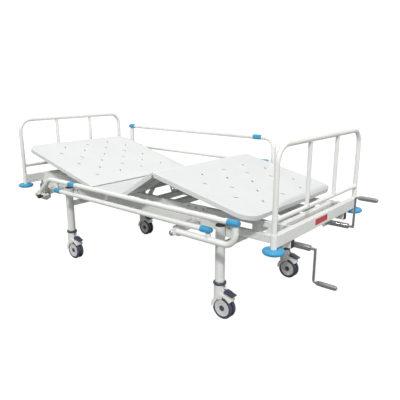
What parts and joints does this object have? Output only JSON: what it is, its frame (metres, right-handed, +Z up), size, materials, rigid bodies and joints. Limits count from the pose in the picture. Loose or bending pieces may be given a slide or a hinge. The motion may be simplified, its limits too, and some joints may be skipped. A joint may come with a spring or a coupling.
{
  "type": "hospital bed",
  "caption": "Two-crank hospital bed on four braked castors, with raising back and knee panels, lift-out end boards and two folding side rails.",
  "frame": {"origin": "centre of the footprint of the whole bed, on the floor", "axes": "+X along the bed to the foot end and the cranks, +Y across the bed to the far side (left of someone lying on it face up), +Z up"},
  "size_m": [2.3976, 1.086, 0.9885],
  "materials": {
    "frame_paint": "satin",
    "panel_paint": "satin",
    "zinc_steel": "satin",
    "chrome": "polished",
    "blue_plastic": "satin",
    "black_plastic": "satin",
    "dark_plastic": "satin",
    "castor_grey": "satin",
    "castor_tyre": "matte"
  },
  "bodies": {
    "root": {"main_rails": "frame_paint", "end_beams": "frame_paint", "corner_sockets": "frame_paint", "bumper_studs": "zinc_steel", "frame_plates": "frame_paint", "frame_bolts": "zinc_steel", "deck_frame": "frame_paint", "leg_frames": "frame_paint", "leg_caps": "black_plastic", "castor_sockets": "dark_plastic", "seat_panel": "panel_paint", "hinge_pins": "zinc_steel", "screw_bearer": "frame_paint", "rail_brackets": "frame_paint", "lock_plates": "zinc_steel", "rail_pivots": "zinc_steel"},
    "bumper_head_near": {"bumper_head_near": "blue_plastic"},
    "bumper_head_far": {"bumper_head_far": "blue_plastic"},
    "bumper_foot_near": {"bumper_foot_near": "blue_plastic"},
    "bumper_foot_far": {"bumper_foot_far": "blue_plastic"},
    "castor_head_near": {"castor_housing_head_near": "castor_grey"},
    "wheel_head_near": {"castor_wheel_head_near": "castor_tyre"},
    "pedal_head_near": {"castor_pedal_head_near": "dark_plastic"},
    "castor_head_far": {"castor_housing_head_far": "castor_grey"},
    "wheel_head_far": {"castor_wheel_head_far": "castor_tyre"},
    "pedal_head_far": {"castor_pedal_head_far": "dark_plastic"},
    "castor_foot_near": {"castor_housing_foot_near": "castor_grey"},
    "wheel_foot_near": {"castor_wheel_foot_near": "castor_tyre"},
    "pedal_foot_near": {"castor_pedal_foot_near": "dark_plastic"},
    "castor_foot_far": {"castor_housing_foot_far": "castor_grey"},
    "wheel_foot_far": {"castor_wheel_foot_far": "castor_tyre"},
    "pedal_foot_far": {"castor_pedal_foot_far": "dark_plastic"},
    "head_board": {"head_board": "frame_paint"},
    "foot_board": {"foot_board": "frame_paint"},
    "back": {"back_panel": "panel_paint", "back_frame": "frame_paint"},
    "thigh": {"thigh_panel": "panel_paint", "thigh_frame": "frame_paint"},
    "leg": {"leg_panel": "panel_paint", "leg_frame": "frame_paint"},
    "crank_back": {"crank_back": "chrome"},
    "crank_grip_back": {"crank_grip_back": "chrome"},
    "push_tube_back": {"push_tube_back": "zinc_steel"},
    "crank_knee": {"crank_knee": "chrome"},
    "crank_grip_knee": {"crank_grip_knee": "chrome"},
    "push_tube_knee": {"push_tube_knee": "zinc_steel"},
    "foot_upright_near": {"foot_upright_near": "frame_paint"},
    "head_upright_near": {"head_upright_near": "frame_paint"},
    "upper_bar_near": {"upper_bar_near": "frame_paint", "upper_caps_near": "blue_plastic"},
    "lower_bar_near": {"lower_bar_near": "frame_paint", "lower_caps_near": "blue_plastic"},
    "lock_plunger_near": {"lock_plunger_near": "black_plastic"},
    "foot_upright_far": {"foot_upright_far": "frame_paint"},
    "head_upright_far": {"head_upright_far": "frame_paint"},
    "upper_bar_far": {"upper_bar_far": "frame_paint", "upper_caps_far": "blue_plastic"},
    "lower_bar_far": {"lower_bar_far": "frame_paint", "lower_caps_far": "blue_plastic"},
    "lock_plunger_far": {"lock_plunger_far": "black_plastic"}
  },
  "joints": [
    {"name": "bumper_spin_head_near", "type": "hinge", "parent": "root", "child": "bumper_head_near", "pos_m": [-1.14625, -0.455, 0.4975], "axis": [0, 0, 1], "continuous": true},
    {"name": "bumper_spin_head_far", "type": "hinge", "parent": "root", "child": "bumper_head_far", "pos_m": [-1.14625, 0.455, 0.4975], "axis": [0, 0, 1], "continuous": true},
    {"name": "bumper_spin_foot_near", "type": "hinge", "parent": "root", "child": "bumper_foot_near", "pos_m": [0.98375, -0.455, 0.4975], "axis": [0, 0, 1], "continuous": true},
    {"name": "bumper_spin_foot_far", "type": "hinge", "parent": "root", "child": "bumper_foot_far", "pos_m": [0.98375, 0.455, 0.4975], "axis": [0, 0, 1], "continuous": true},
    {"name": "castor_swivel_head_near", "type": "hinge", "parent": "root", "child": "castor_head_near", "pos_m": [-0.75125, -0.3501, 0.17], "axis": [0, 0, 1], "continuous": true},
    {"name": "wheel_spin_head_near", "type": "hinge", "parent": "castor_head_near", "child": "wheel_head_near", "pos_m": [-0.71925, -0.3501, 0.0625], "axis": [0, 1, 0], "continuous": true},
    {"name": "pedal_press_head_near", "type": "hinge", "parent": "castor_head_near", "child": "pedal_head_near", "pos_m": [-0.72025, -0.3501, 0.155], "axis": [0, 1, 0], "range_deg": [0, 10]},
    {"name": "castor_swivel_head_far", "type": "hinge", "parent": "root", "child": "castor_head_far", "pos_m": [-0.75125, 0.3501, 0.17], "axis": [0, 0, 1], "continuous": true},
    {"name": "wheel_spin_head_far", "type": "hinge", "parent": "castor_head_far", "child": "wheel_head_far", "pos_m": [-0.71925, 0.3501, 0.0625], "axis": [0, 1, 0], "continuous": true},
    {"name": "pedal_press_head_far", "type": "hinge", "parent": "castor_head_far", "child": "pedal_head_far", "pos_m": [-0.72025, 0.3501, 0.155], "axis": [0, 1, 0], "range_deg": [0, 10]},
    {"name": "castor_swivel_foot_near", "type": "hinge", "parent": "root", "child": "castor_foot_near", "pos_m": [0.60075, -0.3501, 0.17], "axis": [0, 0, 1], "continuous": true},
    {"name": "wheel_spin_foot_near", "type": "hinge", "parent": "castor_foot_near", "child": "wheel_foot_near", "pos_m": [0.63275, -0.3501, 0.0625], "axis": [0, 1, 0], "continuous": true},
    {"name": "pedal_press_foot_near", "type": "hinge", "parent": "castor_foot_near", "child": "pedal_foot_near", "pos_m": [0.63175, -0.3501, 0.155], "axis": [0, 1, 0], "range_deg": [0, 10]},
    {"name": "castor_swivel_foot_far", "type": "hinge", "parent": "root", "child": "castor_foot_far", "pos_m": [0.60075, 0.3501, 0.17], "axis": [0, 0, 1], "continuous": true},
    {"name": "wheel_spin_foot_far", "type": "hinge", "parent": "castor_foot_far", "child": "wheel_foot_far", "pos_m": [0.63275, 0.3501, 0.0625], "axis": [0, 1, 0], "continuous": true},
    {"name": "pedal_press_foot_far", "type": "hinge", "parent": "castor_foot_far", "child": "pedal_foot_far", "pos_m": [0.63175, 0.3501, 0.155], "axis": [0, 1, 0], "range_deg": [0, 10]},
    {"name": "head_board_lift", "type": "slide", "parent": "root", "child": "head_board", "axis": [0, 0, 1], "range_m": [0, 0.08]},
    {"name": "foot_board_lift", "type": "slide", "parent": "root", "child": "foot_board", "axis": [0, 0, 1], "range_m": [0, 0.08]},
    {"name": "back_tilt", "type": "hinge", "parent": "root", "child": "back", "pos_m": [-0.33425, 0, 0.595], "axis": [0, 1, 0], "range_deg": [-14, 56]},
    {"name": "thigh_tilt", "type": "hinge", "parent": "root", "child": "thigh", "pos_m": [-0.05725, 0, 0.595], "axis": [0, -1, 0], "range_deg": [-31.5, 8.5]},
    {"name": "leg_tilt", "type": "hinge", "parent": "thigh", "child": "leg", "pos_m": [0.20366, 0, 0.75489], "axis": [0, -1, 0], "range_deg": [-12, 44]},
    {"name": "crank_turn_back", "type": "hinge", "parent": "root", "child": "crank_back", "pos_m": [0.91875, 0.227, 0.465], "axis": [1, 0, 0], "range_deg": [-580, 2260]},
    {"name": "grip_turn_back", "type": "hinge", "parent": "crank_back", "child": "crank_grip_back", "pos_m": [1.14575, 0.227, 0.633], "axis": [1, 0, 0], "continuous": true},
    {"name": "push_back", "type": "slide", "parent": "root", "child": "push_tube_back", "axis": [1, 0, 0], "range_m": [-0.1412, 0.0357]},
    {"name": "crank_turn_knee", "type": "hinge", "parent": "root", "child": "crank_knee", "pos_m": [0.91875, -0.227, 0.465], "axis": [1, 0, 0], "range_deg": [-1280, 360]},
    {"name": "grip_turn_knee", "type": "hinge", "parent": "crank_knee", "child": "crank_grip_knee", "pos_m": [1.14575, -0.227, 0.297], "axis": [1, 0, 0], "continuous": true},
    {"name": "push_knee", "type": "slide", "parent": "root", "child": "push_tube_knee", "axis": [1, 0, 0], "range_m": [-0.075, 0.0208]},
    {"name": "rail_swing_near", "type": "hinge", "parent": "root", "child": "foot_upright_near", "pos_m": [0.40375, -0.5, 0.4755], "axis": [0, -1, 0], "range_deg": [0, 90]},
    {"name": "head_swing_near", "type": "hinge", "parent": "root", "child": "head_upright_near", "pos_m": [-0.89625, -0.5, 0.4755], "axis": [0, -1, 0], "range_deg": [0, 90]},
    {"name": "upper_bar_pivot_near", "type": "hinge", "parent": "foot_upright_near", "child": "upper_bar_near", "pos_m": [0.80375, -0.5, 0.6035], "axis": [0, -1, 0], "range_deg": [-90, 0]},
    {"name": "lower_bar_pivot_near", "type": "hinge", "parent": "foot_upright_near", "child": "lower_bar_near", "pos_m": [0.63975, -0.5, 0.5375], "axis": [0, -1, 0], "range_deg": [-90, 0]},
    {"name": "plunger_slide_near", "type": "slide", "parent": "head_upright_near", "child": "lock_plunger_near", "axis": [0, 1, 0], "range_m": [0, 0.01]},
    {"name": "rail_swing_far", "type": "hinge", "parent": "root", "child": "foot_upright_far", "pos_m": [0.40375, 0.5, 0.4755], "axis": [0, -1, 0], "range_deg": [-90, 0]},
    {"name": "head_swing_far", "type": "hinge", "parent": "root", "child": "head_upright_far", "pos_m": [-0.89625, 0.5, 0.4755], "axis": [0, -1, 0], "range_deg": [-90, 0]},
    {"name": "upper_bar_pivot_far", "type": "hinge", "parent": "foot_upright_far", "child": "upper_bar_far", "pos_m": [0.27575, 0.5, 0.8755], "axis": [0, -1, 0], "range_deg": [0, 90]},
    {"name": "lower_bar_pivot_far", "type": "hinge", "parent": "foot_upright_far", "child": "lower_bar_far", "pos_m": [0.34175, 0.5, 0.7115], "axis": [0, -1, 0], "range_deg": [0, 90]},
    {"name": "plunger_slide_far", "type": "slide", "parent": "head_upright_far", "child": "lock_plunger_far", "axis": [0, -1, 0], "range_m": [0, 0.01]}
  ],
  "couplings": [
    {"joint": "leg_tilt", "follows": "thigh_tilt", "ratio": -1.38},
    {"joint": "push_back", "follows": "back_tilt", "m_per_rad": -0.14381},
    {"joint": "crank_turn_back", "follows": "back_tilt", "ratio": 40},
    {"joint": "push_knee", "follows": "thigh_tilt", "m_per_rad": 0.13522},
    {"joint": "crank_turn_knee", "follows": "thigh_tilt", "ratio": 40},
    {"joint": "head_swing_near", "follows": "rail_swing_near", "ratio": 1},
    {"joint": "upper_bar_pivot_near", "follows": "rail_swing_near", "ratio": -1},
    {"joint": "lower_bar_pivot_near", "follows": "rail_swing_near", "ratio": -1},
    {"joint": "head_swing_far", "follows": "rail_swing_far", "ratio": 1},
    {"joint": "upper_bar_pivot_far", "follows": "rail_swing_far", "ratio": -1},
    {"joint": "lower_bar_pivot_far", "follows": "rail_swing_far", "ratio": -1}
  ]
}
